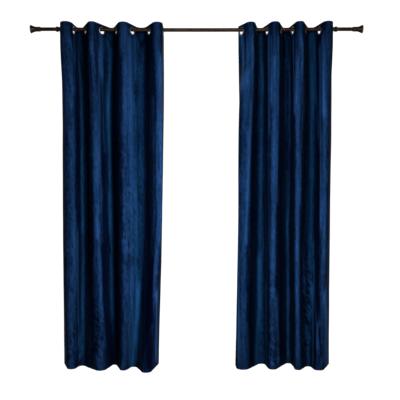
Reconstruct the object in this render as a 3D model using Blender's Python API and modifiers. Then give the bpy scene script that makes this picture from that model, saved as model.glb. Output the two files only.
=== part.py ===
"""Pair of velvet eyelet curtains, hanging in deep folds on a metal rod with trumpet finials.

Metres, +Z up. The origin is on the rod's axis at mid-length. The room is towards -Y and the
wall that carries the rod is towards +Y. Each curtain is one sheet whose plan section, at each
height, is a row of round turns joined by straight flanks. Near the rod an eyelet sits in each
flank and rides on the rod.
"""

import math
from collections import namedtuple

import bmesh
import bpy
import numpy as np
from mathutils import Matrix

MM = 0.001
FIT_GAP = 0.3 * MM

# Rod, with a slight sag between its two ends, which are level where the wall brackets hold them.
ROD_RADIUS = 11.0 * MM
ROD_HALF_LENGTH = 990.0 * MM
ROD_SAG = 5.0 * MM
ROD_SAG_REACH = 825.0 * MM
ROD_STEP = 82.5 * MM
ROD_BEVEL_RESOLUTION = 4
TURNED_STEPS = 24

# Finial: a trumpet that flares from a neck pushed over the rod's end.
FINIAL_LENGTH = 62.0 * MM
FINIAL_RIM_RADIUS = 25.5 * MM
FINIAL_NECK_RADIUS = 14.2 * MM
FINIAL_NECK_LENGTH = 26.0 * MM
FINIAL_SOCKET_DEPTH = 18.0 * MM
FINIAL_EDGE = 1.5 * MM
FINIAL_DOME = 2.0 * MM
DOME_SHARE = 0.6  # of the rim's radius, where the dome has its one point between middle and edge
FLARE_WAVE = 0.75  # of a half cosine wave, from neck to rim
FLARE_STEPS = 6

# Collar: a bead with a sleeve on its cloth side.
COLLAR_X = 868.0 * MM
BEAD_RADIUS = 16.0 * MM
BEAD_WIDTH = 12.0 * MM
SLEEVE_RADIUS = 13.8 * MM
SLEEVE_LENGTH = 6.0 * MM
BEAD_STEPS = 6

# Eyelet: a spool of sheet metal pressed over the edge of a round hole in the cloth.
EYELET_BORE = 20.0 * MM
EYELET_BARREL = 21.7 * MM
EYELET_FLANGE = 27.5 * MM
EYELET_CREST = 24.0 * MM
EYELET_CREST_HEIGHT = 3.6 * MM
EYELET_LIP_HEIGHT = 3.0 * MM
EYELET_REST_GAP = 0.7 * MM  # a leaning ring rests on two points of its bore, a little off its top
EYELET_STEPS = 16
EYELET_COUNT = 8
CLOTH_HOLE = EYELET_BARREL + FIT_GAP
CUTTER_HALF_LENGTH = 8.0 * MM

# Cloth.
CLOTH_THICKNESS = 2.5 * MM
CLOTH_ABOVE_ROD = 31.0 * MM
CURTAIN_LENGTH = 2134.0 * MM
HEADER_BELOW_ROD = 55.0 * MM
ARC_STEPS = 3
ROWS_BELOW_HEADER = 14

# One row for each turn of the cloth, from its left side edge to its right one, seen from the room.
# x and y place the foremost or hindmost point of the turn, in mm, and radius is the turn's own.
# Crests, towards the room, and valleys, towards the wall, take turns between the two edges.
Turn = namedtuple("Turn", "x y radius")

# The four heights at which the folds are set out, in mm below the rod.
LEVEL_DEPTHS = (55.0, 450.0, 1250.0, 2103.0)

LEFT_TURNS = (
    (  # at the rod
        Turn(-860, 82, 0),
        Turn(-806, -62, 36),
        Turn(-738, 68, 21),
        Turn(-644, -63, 25),
        Turn(-539, 62, 18),
        Turn(-452, -62, 32),
        Turn(-349, 56, 37),
        Turn(-242, -62, 31),
        Turn(-210, 82, 0),
    ),
    (  # a fifth of the way down
        Turn(-858, 88, 0),
        Turn(-786, -60, 40),
        Turn(-722, 56, 18),
        Turn(-632, -66, 30),
        Turn(-556, 60, 26),
        Turn(-455, -64, 28),
        Turn(-350, 52, 30),
        Turn(-234, -66, 22),
        Turn(-210, 88, 0),
    ),
    (  # three fifths of the way down
        Turn(-854, 88, 0),
        Turn(-782, -56, 40),
        Turn(-712, 50, 20),
        Turn(-614, -68, 32),
        Turn(-540, 60, 18),
        Turn(-450, -64, 28),
        Turn(-348, 50, 30),
        Turn(-238, -68, 22),
        Turn(-224, 88, 0),
    ),
    (  # at the hem
        Turn(-846, 84, 0),
        Turn(-776, -36, 28),
        Turn(-718, 38, 24),
        Turn(-592, -68, 36),
        Turn(-520, 62, 14),
        Turn(-450, -58, 22),
        Turn(-392, 28, 22),
        Turn(-306, -90, 32),
        Turn(-242, 84, 0),
    ),
)

RIGHT_TURNS = (
    (  # at the rod
        Turn(262, 30, 0),
        Turn(333, -62, 28),
        Turn(402, 65, 20),
        Turn(482, -66, 28),
        Turn(566, 68, 22),
        Turn(634, -68, 26),
        Turn(724, 65, 26),
        Turn(808, -66, 31),
        Turn(860, 82, 0),
    ),
    (  # a fifth of the way down
        Turn(272, 86, 0),
        Turn(308, -60, 42),
        Turn(404, 60, 24),
        Turn(477, -66, 30),
        Turn(573, 64, 22),
        Turn(625, -66, 24),
        Turn(727, 58, 26),
        Turn(794, -64, 28),
        Turn(861, 86, 0),
    ),
    (  # three fifths of the way down
        Turn(266, 84, 0),
        Turn(299, -54, 42),
        Turn(400, 62, 26),
        Turn(470, -64, 28),
        Turn(574, 70, 18),
        Turn(618, -64, 22),
        Turn(719, 50, 26),
        Turn(782, -62, 26),
        Turn(850, 84, 0),
    ),
    (  # at the hem
        Turn(246, 78, 0),
        Turn(290, -42, 42),
        Turn(409, 80, 26),
        Turn(470, -42, 26),
        Turn(584, 88, 18),
        Turn(627, -48, 20),
        Turn(698, 34, 18),
        Turn(754, -58, 33),
        Turn(842, 74, 0),
    ),
)

# How far the hem hangs below its true line at each of those turns, in mm.
LEFT_HEM_DROPS = (4, 3, 3, 0, 2, 0, 5, 3, 0)
RIGHT_HEM_DROPS = (4, 0, 1, 0, 2, 2, 6, 2, 4)


def clear_scene():
    for old in list(bpy.data.objects):
        bpy.data.objects.remove(old, do_unlink=True)


def new_collection(name):
    collection = bpy.data.collections.new(name)
    bpy.context.scene.collection.children.link(collection)
    return collection


def principled(name, colour, roughness, metallic):
    material = bpy.data.materials.new(name)
    material.use_nodes = True
    shader = material.node_tree.nodes["Principled BSDF"]
    shader.inputs["Base Color"].default_value = (*colour, 1.0)
    shader.inputs["Roughness"].default_value = roughness
    shader.inputs["Metallic"].default_value = metallic
    material.diffuse_color = (*colour, 1.0)
    return material


def add_object(name, data, collection, material):
    obj = bpy.data.objects.new(name, data)
    collection.objects.link(obj)
    if material is not None:
        data.materials.append(material)
    return obj


def rod_height(x):
    """The rod's axis above its mid-length point: a parabola that ends in two level stretches."""
    reach = min(abs(x) / ROD_SAG_REACH, 1.0)
    return ROD_SAG * reach * reach


def make_rod(collection, material):
    """A curve with a round bevel, closed at both ends."""
    half_steps = round(ROD_HALF_LENGTH / ROD_STEP)
    places = [i / half_steps * ROD_HALF_LENGTH for i in range(-half_steps, half_steps + 1)]
    curve = bpy.data.curves.new("rod", "CURVE")
    curve.dimensions = "3D"
    curve.bevel_depth = ROD_RADIUS
    curve.bevel_resolution = ROD_BEVEL_RESOLUTION
    curve.use_fill_caps = True
    spline = curve.splines.new("POLY")
    spline.points.add(len(places) - 1)
    for point, x in zip(spline.points, places):
        point.co = (x, 0.0, rod_height(x), 1.0)
    return add_object("rod", curve, collection, material)


def turned(name, profile, closed, steps, collection, material):
    """A profile of (radius, height) points turned about local Z by a Screw modifier."""
    mesh = bpy.data.meshes.new(name)
    points = [(radius, 0.0, height) for radius, height in profile]
    edges = [(i, i + 1) for i in range(len(points) - 1)]
    if closed:
        edges.append((len(points) - 1, 0))
    mesh.from_pydata(points, edges, [])
    obj = add_object(name, mesh, collection, material)
    screw = obj.modifiers.new("turn", "SCREW")
    screw.steps = steps
    screw.render_steps = steps
    screw.use_merge_vertices = True
    screw.merge_threshold = 0.00001
    screw.use_smooth_shade = True
    return obj


def flare_swell(along):
    """0 at the neck and 1 at the rim, and steepest near the rim."""
    return (1.0 - math.cos(math.pi * FLARE_WAVE * along)) / (1.0 - math.cos(math.pi * FLARE_WAVE))


def finial_profile():
    """From the middle of the domed end, over the rim, down the flare and neck, and up the socket."""
    flare_end = FINIAL_LENGTH - 2 * FINIAL_EDGE - FINIAL_DOME
    flare_radius = FINIAL_RIM_RADIUS - FINIAL_EDGE
    socket_radius = ROD_RADIUS + FIT_GAP
    socket_end = FINIAL_SOCKET_DEPTH + FIT_GAP
    profile = [
        (0.0, FINIAL_LENGTH),
        (flare_radius * DOME_SHARE, FINIAL_LENGTH - FINIAL_DOME * DOME_SHARE * DOME_SHARE),
        (flare_radius, FINIAL_LENGTH - FINIAL_DOME),
        (FINIAL_RIM_RADIUS, FINIAL_LENGTH - FINIAL_DOME - FINIAL_EDGE),
    ]
    for i in range(FLARE_STEPS + 1):
        along = 1.0 - i / FLARE_STEPS
        radius = FINIAL_NECK_RADIUS + (flare_radius - FINIAL_NECK_RADIUS) * flare_swell(along)
        profile.append((radius, FINIAL_NECK_LENGTH + (flare_end - FINIAL_NECK_LENGTH) * along))
    profile += [
        (FINIAL_NECK_RADIUS, FINIAL_EDGE),
        (FINIAL_NECK_RADIUS - FINIAL_EDGE, 0.0),
        (socket_radius, 0.0),
        (socket_radius, socket_end),
        (0.0, socket_end),
    ]
    return profile


def make_finial(name, side, collection, material):
    """side is -1 for the left end and 1 for the right one."""
    obj = turned(name, finial_profile(), False, TURNED_STEPS, collection, material)
    obj.location = (side * (ROD_HALF_LENGTH - FINIAL_SOCKET_DEPTH), 0.0, ROD_SAG)
    obj.rotation_euler = (0.0, side * math.pi / 2, 0.0)
    return obj


def collar_profile():
    """The bead's round outer side, top to bottom, then the sleeve, then the bore."""
    profile = []
    for i in range(BEAD_STEPS + 1):
        angle = math.pi / 2 - math.pi * i / BEAD_STEPS
        radius = SLEEVE_RADIUS + (BEAD_RADIUS - SLEEVE_RADIUS) * math.cos(angle)
        profile.append((radius, BEAD_WIDTH / 2 * math.sin(angle)))
    profile += [
        (SLEEVE_RADIUS, -BEAD_WIDTH / 2 - SLEEVE_LENGTH),
        (ROD_RADIUS + FIT_GAP, -BEAD_WIDTH / 2 - SLEEVE_LENGTH),
        (ROD_RADIUS + FIT_GAP, BEAD_WIDTH / 2),
    ]
    return profile


def make_collar(name, side, collection, material):
    obj = turned(name, collar_profile(), True, TURNED_STEPS, collection, material)
    obj.location = (side * COLLAR_X, 0.0, ROD_SAG)
    obj.rotation_euler = (0.0, side * math.pi / 2, 0.0)
    return obj


def flank(first, second, side):
    """Heading and length of the straight flank that leaves one turn and meets the next.

    side is -1 where the first turn is a crest and 1 where it is a valley. The flank is the inner
    tangent of the two turns' circles.
    """
    run = second.x - first.x
    rise = abs(second.y - first.y) - first.radius - second.radius
    both = first.radius + second.radius
    length = math.sqrt(run * run + rise * rise - both * both)
    heading = math.atan2(rise, run) + math.atan2(both, length)
    return heading, length


def turn_side(index):
    """Edges and valleys, towards the wall, are 1. Crests, towards the room, are -1."""
    return -1 if index % 2 else 1


def section(turns):
    """Plan points of the cloth at one level, from edge to edge, in mm, with ARC_STEPS to a half turn."""
    headings = [flank(turns[i], turns[i + 1], turn_side(i))[0] for i in range(len(turns) - 1)]
    points = [(turns[0].x, turns[0].y)]
    for i in range(1, len(turns) - 1):
        turn = turns[i]
        side = turn_side(i)
        middle_y = turn.y - side * turn.radius
        angles = [-headings[i - 1] * (1 - k / ARC_STEPS) for k in range(ARC_STEPS)]
        angles += [headings[i] * k / ARC_STEPS for k in range(ARC_STEPS + 1)]
        for angle in angles:
            x = turn.x + turn.radius * math.sin(angle)
            points.append((x, middle_y + side * turn.radius * math.cos(angle)))
    points.append((turns[-1].x, turns[-1].y))
    return np.array(points) * MM


def hem_drops(drops):
    """The hem's drop at each plan point: worked out between the turns in even steps."""
    values = [drops[0]]
    for i in range(1, len(drops) - 1):
        before = (drops[i - 1] + drops[i]) / 2
        after = (drops[i] + drops[i + 1]) / 2
        values += [before + (drops[i] - before) * k / ARC_STEPS for k in range(ARC_STEPS)]
        values += [drops[i] + (after - drops[i]) * k / ARC_STEPS for k in range(ARC_STEPS + 1)]
    values.append(drops[-1])
    return np.array(values) * MM


def blended(sections, depth):
    """The plan section at one depth, on a smooth curve through the four set-out levels."""
    depths = [level * MM for level in LEVEL_DEPTHS]
    if depth <= depths[0]:
        return sections[0]
    k = max(i for i in range(len(depths) - 1) if depth >= depths[i])
    span = depths[k + 1] - depths[k]
    t = (depth - depths[k]) / span
    slopes = []
    for i in (k, k + 1):
        low = max(i - 1, 0)
        high = min(i + 1, len(depths) - 1)
        slope = (sections[high] - sections[low]) / (depths[high] - depths[low])
        slopes.append(slope * (span if i > 0 else 0.0))
    start = (1 + 2 * t) * (1 - t) ** 2 * sections[k] + t * (1 - t) ** 2 * slopes[0]
    return start + t * t * (3 - 2 * t) * sections[k + 1] - t * t * (1 - t) * slopes[1]


def row_depths():
    """Depths of the sheet's rows below the rod: its top edge, the header's foot, and down to the hem."""
    hem = CURTAIN_LENGTH - CLOTH_ABOVE_ROD
    rows = [-CLOTH_ABOVE_ROD, HEADER_BELOW_ROD]
    for i in range(1, ROWS_BELOW_HEADER + 1):
        rows.append(HEADER_BELOW_ROD + (hem - HEADER_BELOW_ROD) * i / ROWS_BELOW_HEADER)
    return rows


def eyelet_places(turns):
    """(x, heading) of each flank where it crosses the rod, in metres and radians.

    The heading is the flank's direction in plan, with the cloth running from left to right.
    """
    places = []
    for i in range(EYELET_COUNT):
        side = turn_side(i)
        heading, _ = flank(turns[i], turns[i + 1], side)
        turn = turns[i]
        leave_x = turn.x + turn.radius * math.sin(heading)
        leave_y = turn.y - side * turn.radius * (1 - math.cos(heading))
        to_rod = leave_y * side / math.sin(heading)
        places.append(((leave_x + to_rod * math.cos(heading)) * MM, -side * heading))
    return places


def eyelet_matrix(x, heading):
    """Local Z along the flank's normal, so the ring lies in the cloth. Its bore rests on the rod's top."""
    centre_z = rod_height(x) + ROD_RADIUS + EYELET_REST_GAP - EYELET_BORE
    place = Matrix.Translation((x, 0.0, centre_z))
    return place @ Matrix.Rotation(heading, 4, "Z") @ Matrix.Rotation(math.pi / 2, 4, "X")


def eyelet_profile():
    """The spool's section: over the front flange, in along its back, the barrel, the rear flange."""
    half_cloth = CLOTH_THICKNESS / 2 + FIT_GAP
    front = [
        (EYELET_BORE, EYELET_LIP_HEIGHT),
        (EYELET_CREST, EYELET_CREST_HEIGHT),
        (EYELET_FLANGE, half_cloth),
        (EYELET_BARREL, half_cloth),
    ]
    return front + [(radius, -height) for radius, height in reversed(front)]


def make_cutter(name, places, collection):
    """One round punch for each eyelet, in one mesh."""
    shapes = bmesh.new()
    for x, heading in places:
        bmesh.ops.create_cone(
            shapes,
            cap_ends=True,
            segments=EYELET_STEPS,
            radius1=CLOTH_HOLE,
            radius2=CLOTH_HOLE,
            depth=2 * CUTTER_HALF_LENGTH,
            matrix=eyelet_matrix(x, heading),
        )
    mesh = bpy.data.meshes.new(name)
    shapes.to_mesh(mesh)
    shapes.free()
    cutter = add_object(name, mesh, collection, None)
    cutter.hide_render = True
    cutter.display_type = "WIRE"
    return cutter


def make_panel(name, levels, drops, cutter, collection, material):
    """A loft of the plan sections down the curtain, thickened, with the eyelet holes cut."""
    sections = [section(turns) for turns in levels]
    drop = hem_drops(drops)
    points = []
    rows = row_depths()
    for depth in rows:
        plan = blended(sections, depth)
        share = max(depth, 0.0) / rows[-1]
        for (x, y), extra in zip(plan, drop):
            points.append((x, y, rod_height(x) - depth - extra * share))
    across = len(sections[0])
    faces = []
    for row in range(len(rows) - 1):
        for column in range(across - 1):
            corner = row * across + column
            faces.append((corner, corner + across, corner + across + 1, corner + 1))
    mesh = bpy.data.meshes.new(name)
    mesh.from_pydata(points, [], faces)
    mesh.shade_smooth()
    obj = add_object(name, mesh, collection, material)
    solidify = obj.modifiers.new("cloth thickness", "SOLIDIFY")
    solidify.thickness = CLOTH_THICKNESS
    solidify.offset = 0.0
    solidify.use_even_offset = True
    punch = obj.modifiers.new("eyelet holes", "BOOLEAN")
    punch.operation = "DIFFERENCE"
    punch.solver = "EXACT"
    punch.object = cutter
    return obj


def make_eyelets(side_name, places, collection, material):
    shared = None
    for number, (x, heading) in enumerate(places, start=1):
        name = f"eyelet_{side_name}_{number}"
        obj = turned(name, eyelet_profile(), True, EYELET_STEPS, collection, material)
        if shared is None:
            shared = obj.data
        else:
            spare = obj.data
            obj.data = shared
            bpy.data.meshes.remove(spare)
        obj.matrix_world = eyelet_matrix(x, heading)


def main():
    clear_scene()
    parts = new_collection("pair_of_curtains")
    cutters = new_collection("cutters")
    velvet = principled("velvet", (0.010, 0.045, 0.160), 0.85, 0.0)
    bronze = principled("bronze", (0.075, 0.050, 0.038), 0.38, 0.9)
    pewter = principled("pewter", (0.55, 0.54, 0.52), 0.30, 1.0)

    make_rod(parts, bronze)
    for side_name, side in (("left", -1), ("right", 1)):
        make_finial(f"finial_{side_name}", side, parts, bronze)
        make_collar(f"collar_{side_name}", side, parts, bronze)

    curtains = (("left", LEFT_TURNS, LEFT_HEM_DROPS), ("right", RIGHT_TURNS, RIGHT_HEM_DROPS))
    for side_name, levels, drops in curtains:
        places = eyelet_places(levels[0])
        cutter = make_cutter(f"eyelet_punch_{side_name}", places, cutters)
        make_panel(f"panel_{side_name}", levels, drops, cutter, parts, velvet)
        make_eyelets(side_name, places, parts, pewter)


main()
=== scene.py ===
"""Looks of the pair of velvet eyelet curtains: dark blue velvet, pewter eyelets and a bronze rod.

Metres, +Z up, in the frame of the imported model. The room is towards -Y and the wall towards +Y.
"""

import math
from collections import namedtuple

import bpy
import numpy as np
from mathutils import Matrix, Vector, noise


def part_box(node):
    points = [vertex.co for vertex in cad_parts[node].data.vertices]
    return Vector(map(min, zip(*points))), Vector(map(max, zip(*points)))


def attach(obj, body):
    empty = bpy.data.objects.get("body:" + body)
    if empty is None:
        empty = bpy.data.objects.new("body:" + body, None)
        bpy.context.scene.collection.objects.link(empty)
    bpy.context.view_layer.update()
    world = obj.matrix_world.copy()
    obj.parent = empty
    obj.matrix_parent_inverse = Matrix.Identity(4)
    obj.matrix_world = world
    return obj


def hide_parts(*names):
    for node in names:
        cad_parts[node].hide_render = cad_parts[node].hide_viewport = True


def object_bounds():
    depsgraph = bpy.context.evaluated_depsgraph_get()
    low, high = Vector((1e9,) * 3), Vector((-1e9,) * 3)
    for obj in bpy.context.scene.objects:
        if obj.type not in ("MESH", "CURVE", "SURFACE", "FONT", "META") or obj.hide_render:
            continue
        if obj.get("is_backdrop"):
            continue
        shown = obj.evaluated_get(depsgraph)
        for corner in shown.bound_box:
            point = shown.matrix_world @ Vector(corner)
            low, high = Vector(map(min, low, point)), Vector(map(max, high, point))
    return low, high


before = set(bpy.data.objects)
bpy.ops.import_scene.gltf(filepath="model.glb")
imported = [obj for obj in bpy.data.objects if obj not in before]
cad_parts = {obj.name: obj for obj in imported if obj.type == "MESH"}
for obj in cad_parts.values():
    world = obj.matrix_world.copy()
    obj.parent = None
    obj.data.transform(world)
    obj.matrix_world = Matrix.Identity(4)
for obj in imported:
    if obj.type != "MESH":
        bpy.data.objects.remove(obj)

cad_low, cad_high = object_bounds()


# The rod
# A round steel tube under a dark bronze paint, held by a wall bracket near each end. It sags
# a little under the cloth. The paint is mottled, with warm metal where rings have rubbed it.
MM = 0.001
rod_low, rod_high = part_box("rod")
ROD_RADIUS = (rod_high.y - rod_low.y) / 2
ROD_HALF_LENGTH = rod_high.x
ROD_SAG = rod_high.z - ROD_RADIUS
ROD_SAG_REACH = 825 * MM
ROD_ROWS = 96
ROD_STEPS = 40
ROD_END_ROUND = 1.0 * MM
BRONZE_DARK = (0.040, 0.024, 0.017, 1.0)
BRONZE_WARM = (0.290, 0.155, 0.100, 1.0)
BRONZE_METALLIC = 0.72
SKIN_HEIGHT = 0.4 * MM
SKIN_STRENGTH = 0.12

# How fine each texture is, in grains to the metre.
SKIN_GRAIN = 1400
ROD_PATCH_GRAIN = 28
ROD_RUB_GRAIN = 150


class Shade:
    """One socket of a material's node tree, so that shader maths reads as plain sums."""

    def __init__(self, tree, socket=None):
        self.tree = tree
        self.socket = socket

    def node(self, kind, settings=None, inputs=None, output=0):
        """A node of that kind: its settings are made first, then its sockets' values or links."""
        made = self.tree.nodes.new("ShaderNode" + kind)
        for name, value in (settings or {}).items():
            setattr(made, name, value)
        for name, value in (inputs or {}).items():
            if isinstance(value, Shade):
                self.tree.links.new(value.socket, made.inputs[name])
            else:
                made.inputs[name].default_value = value
        return Shade(self.tree, made.outputs[output])

    def maths(self, operation, *values):
        """A Math node's result on these values."""
        return self.node("Math", {"operation": operation}, dict(enumerate(values)))

    def __abs__(self):
        return self.maths("ABSOLUTE", self)

    def __add__(self, other):
        return self.maths("ADD", self, other)

    def __radd__(self, other):
        return self.maths("ADD", other, self)

    def __sub__(self, other):
        return self.maths("SUBTRACT", self, other)

    def __rsub__(self, other):
        return self.maths("SUBTRACT", other, self)

    def __mul__(self, other):
        return self.maths("MULTIPLY", self, other)

    def __rmul__(self, other):
        return self.maths("MULTIPLY", other, self)

    def held(self, low, high):
        """0 below low, 1 above high, and smooth between the two."""
        return self.node(
            "MapRange",
            {"interpolation_type": "SMOOTHSTEP"},
            {"Value": self, "From Min": low, "From Max": high},
        )

    def along(self, axis):
        """This place's own x, y or z, for an axis of 0, 1 or 2."""
        return self.node("SeparateXYZ", inputs={"Vector": self}, output=axis)

    def stretched(self, x, y, z):
        """This place with each direction multiplied, to draw a texture out along one of them."""
        return self.node("VectorMath", {"operation": "MULTIPLY"}, {0: self, 1: (x, y, z)})

    def grain(self, scale, detail, roughness=0.5):
        """A cloudy texture at this place, around 0.5."""
        sockets = {"Vector": self, "Scale": scale, "Detail": detail, "Roughness": roughness}
        return self.node("TexNoise", inputs=sockets)

    def between(self, first, second):
        """The first colour where this mask is 0 and the second where it is 1."""
        return self.node("Mix", {"data_type": "RGBA"}, {0: self, 6: first, 7: second}, output=2)

    def relief(self, strength, distance):
        """A normal raised by this height, where a height of 1 stands distance metres high."""
        sockets = {"Height": self, "Strength": strength, "Distance": distance}
        return self.node("Bump", inputs=sockets)


def wire(node_tree, output_kind, build):
    """Wires the shader that build() returns to the output of an emptied node tree."""
    node_tree.nodes.clear()
    output = node_tree.nodes.new("ShaderNode" + output_kind)
    node_tree.links.new(build(Shade(node_tree)).socket, output.inputs["Surface"])


def finish(name, build):
    """A material with the shader that build() returns."""
    material = bpy.data.materials.new(name)
    material.use_nodes = True
    wire(material.node_tree, "OutputMaterial", build)
    return material


def bronze_shader(tree, place, colour, roughness):
    """The bronze's metal, with the fine skin of its paint."""
    return tree.node(
        "BsdfPrincipled",
        inputs={
            "Base Color": colour,
            "Metallic": BRONZE_METALLIC,
            "Roughness": roughness,
            "Specular IOR Level": 0.5,
            "Normal": place.grain(SKIN_GRAIN, 2).relief(SKIN_STRENGTH, SKIN_HEIGHT),
        },
    )


def painted_bronze(tree):
    """Bronze paint: cloudy patches and small warm rubs."""
    place = tree.node("TexCoord", output=3)
    patches = place.grain(ROD_PATCH_GRAIN, 4)
    rubs = place.stretched(1.0, 1.6, 1.6).grain(ROD_RUB_GRAIN, 5, 0.62).held(0.52, 0.72)
    colour = (rubs * (0.35 + 0.9 * patches)).between(BRONZE_DARK, BRONZE_WARM)
    return bronze_shader(tree, place, colour, 0.34 + 0.26 * patches)


bronze = finish("bronze_paint", painted_bronze)


def rod_height(x):
    """The rod's axis above its mid-length point: a parabola that ends in two level stretches."""
    reach = min(abs(x) / ROD_SAG_REACH, 1.0)
    return ROD_SAG * reach * reach


def placed(name, data):
    """An object that holds this mesh, light or camera, in the scene."""
    obj = bpy.data.objects.new(name, data)
    bpy.context.scene.collection.objects.link(obj)
    return obj


def turned(name, profile, closed, steps, material):
    """A (radius, height) profile turned about local Z, a ring of points for each of its points."""
    points = []
    rings = []
    for radius, height in profile:
        count = 1 if radius == 0 else steps
        rings.append(range(len(points), len(points) + count))
        for k in range(count):
            angle = 2 * math.pi * k / steps
            points.append((radius * math.cos(angle), radius * math.sin(angle), height))
    faces = []
    pairs = list(zip(rings, rings[1:]))
    if closed:
        pairs.append((rings[-1], rings[0]))
    for upper, lower in pairs:
        for k in range(steps):
            after = (k + 1) % steps
            corners = [upper[k % len(upper)], lower[k % len(lower)]]
            corners += [lower[after % len(lower)], upper[after % len(upper)]]
            faces.append(list(dict.fromkeys(corners)))
    mesh = bpy.data.meshes.new(name)
    mesh.from_pydata(points, [], faces)
    mesh.shade_smooth()
    mesh.materials.append(material)
    return placed(name, mesh)


rod_profile = [(0.0, ROD_HALF_LENGTH), (ROD_RADIUS - ROD_END_ROUND, ROD_HALF_LENGTH)]
for row in range(ROD_ROWS + 1):
    along = 1 - 2 * row / ROD_ROWS
    rod_profile.append((ROD_RADIUS, along * (ROD_HALF_LENGTH - ROD_END_ROUND)))
rod_profile += [(ROD_RADIUS - ROD_END_ROUND, -ROD_HALF_LENGTH), (0.0, -ROD_HALF_LENGTH)]
rod = turned("rod_tube", rod_profile, False, ROD_STEPS, bronze)
rod.data.transform(Matrix.Rotation(math.pi / 2, 4, "Y"))
for vertex in rod.data.vertices:
    vertex.co.z += rod_height(vertex.co.x)
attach(rod, "root")
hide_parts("rod")


# The collars
# A turned bead with a short sleeve on its cloth side, one near each end of the rod. It is cast
# zinc under the rod's paint, pushed on and held by friction. It keeps the cloth off the bracket.
COLLAR_STEPS = 48
BEAD_RADIUS = 16.0 * MM
BEAD_WIDTH = 12.0 * MM
BEAD_STEPS = 14
BEAD_FULLNESS = 0.8
SLEEVE_RADIUS = 13.8 * MM
SLEEVE_LENGTH = 6.0 * MM
SLEEVE_ROUND = 0.8 * MM
BORE_RADIUS = ROD_RADIUS + 0.3 * MM

# Where the middle point of a rounded edge lies, as a share of its rounding.
ROUND_MIDDLE = 0.3


def collar_profile():
    """Over the bead's round side, along the sleeve, and back through the bore."""
    profile = []
    for step in range(BEAD_STEPS + 1):
        angle = math.pi / 2 - math.pi * step / BEAD_STEPS
        radius = SLEEVE_RADIUS + (BEAD_RADIUS - SLEEVE_RADIUS) * math.cos(angle) ** BEAD_FULLNESS
        profile.append((radius, BEAD_WIDTH / 2 * math.sin(angle)))
    end = -BEAD_WIDTH / 2 - SLEEVE_LENGTH
    profile += [
        (SLEEVE_RADIUS, end + SLEEVE_ROUND),
        (SLEEVE_RADIUS - SLEEVE_ROUND * ROUND_MIDDLE, end + SLEEVE_ROUND * ROUND_MIDDLE),
        (SLEEVE_RADIUS - SLEEVE_ROUND, end),
        (BORE_RADIUS, end),
        (BORE_RADIUS, BEAD_WIDTH / 2),
    ]
    return profile


for side_name, side in (("left", -1), ("right", 1)):
    low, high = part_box(f"collar_{side_name}")
    bead_end = low.x if side < 0 else high.x
    collar = turned(f"collar_bead_{side_name}", collar_profile(), True, COLLAR_STEPS, bronze)
    middle = bead_end - side * BEAD_WIDTH / 2
    collar.location = (middle, 0.0, rod_height(middle))
    collar.rotation_euler = (0.0, side * math.pi / 2, 0.0)
    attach(collar, "root")
    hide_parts(f"collar_{side_name}")


# The finials
# A trumpet of cast metal that flares from a neck pushed over the rod's end to a thin rim round
# a slightly domed face. A grub screw holds it, and its rim is rubbed warm.
FINIAL_STEPS = 64
FINIAL_RIM_RADIUS = 25.5 * MM
FINIAL_NECK_RADIUS = 14.2 * MM
FINIAL_NECK_LENGTH = 26.0 * MM
FINIAL_SOCKET_DEPTH = 18.0 * MM
FINIAL_EDGE = 1.5 * MM
FINIAL_DOME = 2.0 * MM
FINIAL_DOME_STEPS = 6
FINIAL_EDGE_STEPS = 5
FLARE_WAVE = 0.75
FLARE_STEPS = 20
RIM_RUB_WIDTH = 5.0 * MM
FINIAL_PATCH_GRAIN = 60
FINIAL_RUB_GRAIN = 210


def finial_profile(length):
    """From the middle of the domed face, over the rim, down the flare and neck, up the socket."""
    flare_end = length - 2 * FINIAL_EDGE - FINIAL_DOME
    face_radius = FINIAL_RIM_RADIUS - FINIAL_EDGE
    profile = []
    for step in range(FINIAL_DOME_STEPS + 1):
        out = step / FINIAL_DOME_STEPS
        profile.append((face_radius * out, length - FINIAL_DOME * out * out))
    rim_height = length - FINIAL_DOME - FINIAL_EDGE
    for step in range(1, FINIAL_EDGE_STEPS):
        angle = math.pi * (0.5 - step / FINIAL_EDGE_STEPS)
        radius = face_radius + FINIAL_EDGE * math.cos(angle)
        profile.append((radius, rim_height + FINIAL_EDGE * math.sin(angle)))
    whole = 1 - math.cos(math.pi * FLARE_WAVE)
    for step in range(FLARE_STEPS + 1):
        along = 1 - step / FLARE_STEPS
        swell = (1 - math.cos(math.pi * FLARE_WAVE * along)) / whole
        radius = FINIAL_NECK_RADIUS + (face_radius - FINIAL_NECK_RADIUS) * swell
        profile.append((radius, FINIAL_NECK_LENGTH + (flare_end - FINIAL_NECK_LENGTH) * along))
    profile += [
        (FINIAL_NECK_RADIUS, FINIAL_EDGE),
        (FINIAL_NECK_RADIUS - FINIAL_EDGE * ROUND_MIDDLE, FINIAL_EDGE * ROUND_MIDDLE),
        (FINIAL_NECK_RADIUS - FINIAL_EDGE, 0.0),
        (BORE_RADIUS, 0.0),
        (BORE_RADIUS, FINIAL_SOCKET_DEPTH),
        (0.0, FINIAL_SOCKET_DEPTH),
    ]
    return profile


finial_low, finial_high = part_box("finial_right")
FINIAL_LENGTH = finial_high.x - finial_low.x


def rubbed_bronze(tree):
    """The rod's bronze, with the rim rubbed warm in patches."""
    place = tree.node("TexCoord", output=3)
    patches = place.grain(FINIAL_PATCH_GRAIN, 4)
    rubs = place.grain(FINIAL_RUB_GRAIN, 5, 0.62).held(0.50, 0.70)
    rub_start = FINIAL_LENGTH - 2 * RIM_RUB_WIDTH
    rim = place.along(2).held(rub_start, FINIAL_LENGTH - RIM_RUB_WIDTH / 2)
    worn = rubs * (0.4 + 0.8 * patches) + rim * patches * 0.7
    colour = worn.held(0.0, 1.1).between(BRONZE_DARK, BRONZE_WARM)
    return bronze_shader(tree, place, colour, 0.26 + 0.24 * patches)


cast_bronze = finish("bronze_cast", rubbed_bronze)

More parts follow.
